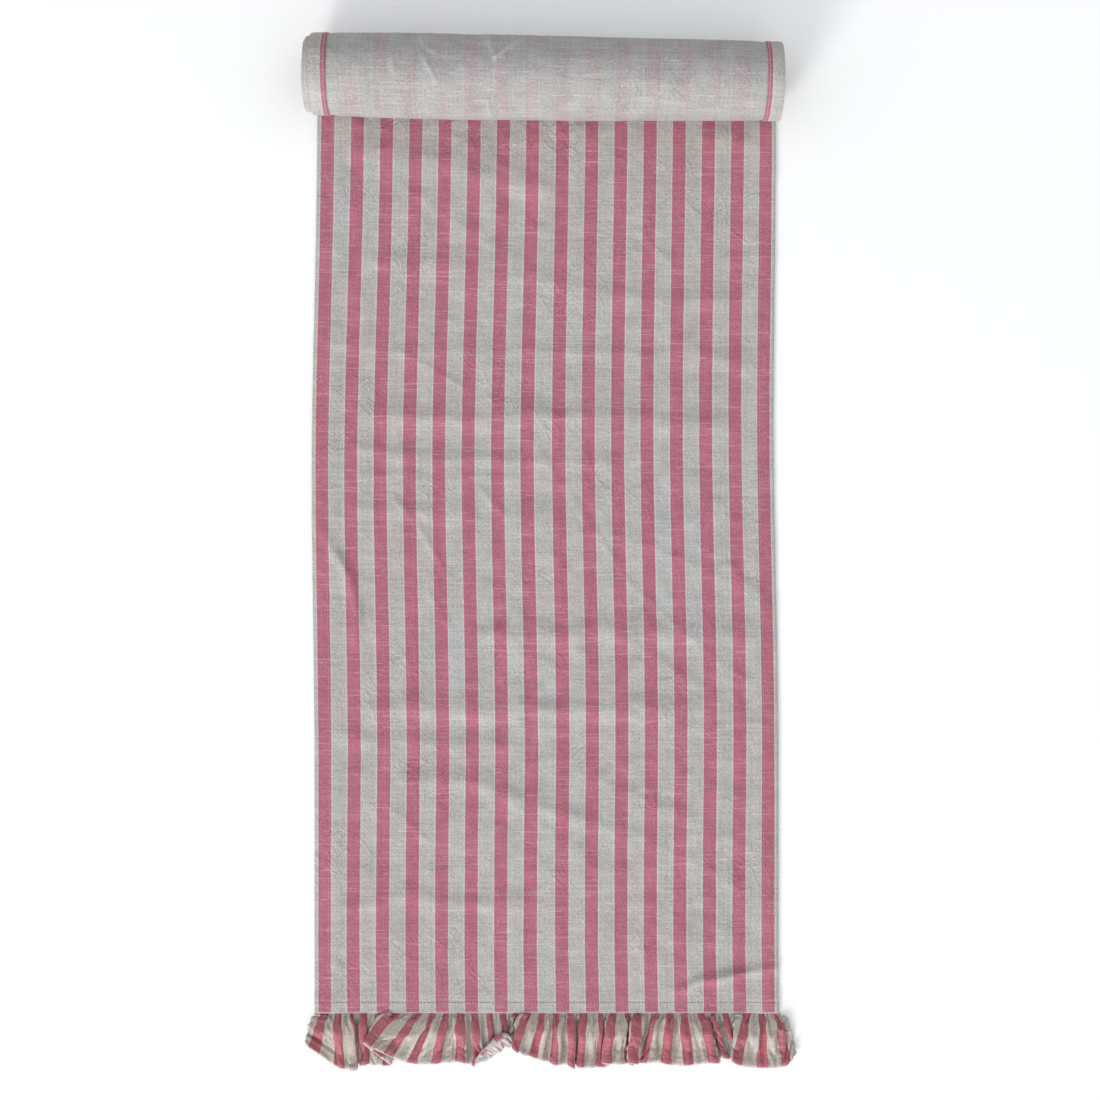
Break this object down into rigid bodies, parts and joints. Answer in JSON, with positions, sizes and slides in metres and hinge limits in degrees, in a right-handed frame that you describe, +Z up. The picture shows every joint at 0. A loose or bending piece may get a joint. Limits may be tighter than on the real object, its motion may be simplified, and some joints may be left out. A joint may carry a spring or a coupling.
{
  "type": "table runner",
  "caption": "Striped cotton table runner with turned side hems and a gathered ruffle at each end, lying face up with its far end rolled up.",
  "frame": {"origin": "middle of the runner's footprint, on the surface that it lies on", "axes": "+Y along the runner's length, from the spread-out end towards the roll; +X across its width, to the right when the roll is at the top; +Z up out of the printed face"},
  "size_m": [0.377, 0.7828, 0.0616],
  "materials": {
    "striped_cotton": "matt plain weave with slubs, printed with narrow rose stripes on a pale grey-beige ground",
    "sewing_thread": "matt spun thread, off-white"
  },
  "bodies": {
    "runner": {"striped_panel": "striped_cotton", "front_ruffle_heading": "striped_cotton", "far_ruffle": "striped_cotton", "left_hem_needle_thread": "sewing_thread", "left_hem_bobbin_thread": "sewing_thread", "right_hem_needle_thread": "sewing_thread", "right_hem_bobbin_thread": "sewing_thread", "front_seam_thread": "sewing_thread", "front_gathering_thread": "sewing_thread", "front_topstitch_needle_thread": "sewing_thread", "front_topstitch_bobbin_thread": "sewing_thread", "far_seam_thread": "sewing_thread", "far_gathering_thread": "sewing_thread", "far_topstitch_needle_thread": "sewing_thread", "far_topstitch_bobbin_thread": "sewing_thread", "far_ruffle_hem_thread": "sewing_thread"},
    "ruffle_flap": {"front_ruffle": "striped_cotton", "front_ruffle_hem_thread": "sewing_thread"}
  },
  "joints": [
    {"name": "front_ruffle_fold", "type": "hinge", "parent": "runner", "child": "ruffle_flap", "pos_m": [0, -0.3519, 0.0032], "axis": [-1, 0, 0], "range_deg": [0, 150]}
  ]
}
